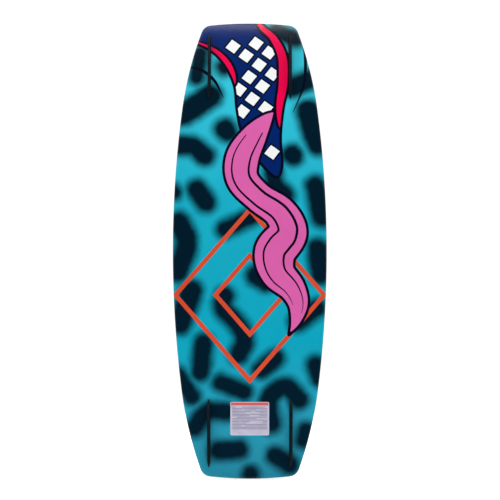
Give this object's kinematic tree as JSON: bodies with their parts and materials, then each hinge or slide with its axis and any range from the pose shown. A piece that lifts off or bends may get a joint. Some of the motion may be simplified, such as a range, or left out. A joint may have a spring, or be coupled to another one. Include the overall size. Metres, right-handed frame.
{
  "type": "wakeboard",
  "caption": "Twin-tip wakeboard without bindings: rockered composite board with a printed base, slim bolt-on fins near each tip and threaded binding inserts in the deck.",
  "frame": {"origin": "middle of the board's bounding box: mid-length, mid-width, and midway between the base at its middle and the deck at its tips", "axes": "+Z along the board to its nose, so that it stands on its tail; +Y out of the deck; +X across, to the right when the base is seen with the nose up"},
  "size_m": [0.415, 0.0664, 1.2498],
  "materials": {
    "base_graphic": "gloss print under clear coat",
    "deck_graphic": "gloss print under clear coat",
    "glass_laminate": "woven glass in resin",
    "foam": "closed-cell foam",
    "rail": "cast resin, satin",
    "block": "dense board",
    "brass": "machined",
    "steel": "stainless",
    "fin_nylon": "moulded nylon, satin",
    "label": "vinyl sticker"
  },
  "bodies": {
    "root": {"base_laminate": "glass_laminate", "base_sheet": "base_graphic", "binding_inserts_nose_inner": "brass", "binding_inserts_nose_outer": "brass", "binding_inserts_tail_inner": "brass", "binding_inserts_tail_outer": "brass", "deck_laminate": "glass_laminate", "deck_sheet": "deck_graphic", "fin_ferrules_nose_left": "brass", "fin_ferrules_nose_right": "brass", "fin_ferrules_tail_left": "brass", "fin_ferrules_tail_right": "brass", "fin_nose_left": "fin_nylon", "fin_nose_right": "fin_nylon", "fin_nuts_nose_left": "brass", "fin_nuts_nose_right": "brass", "fin_nuts_tail_left": "brass", "fin_nuts_tail_right": "brass", "fin_screws_nose_left": "steel", "fin_screws_nose_right": "steel", "fin_screws_tail_left": "steel", "fin_screws_tail_right": "steel", "fin_tail_left": "fin_nylon", "fin_tail_right": "fin_nylon", "fin_washers_nose_left": "steel", "fin_washers_nose_right": "steel", "fin_washers_tail_left": "steel", "fin_washers_tail_right": "steel", "foam_core": "foam", "insert_block_nose_inner": "block", "insert_block_nose_outer": "block", "insert_block_tail_inner": "block", "insert_block_tail_outer": "block", "label": "label", "rail": "rail", "stringer_left": "glass_laminate", "stringer_right": "glass_laminate"}
  },
  "joints": []
}
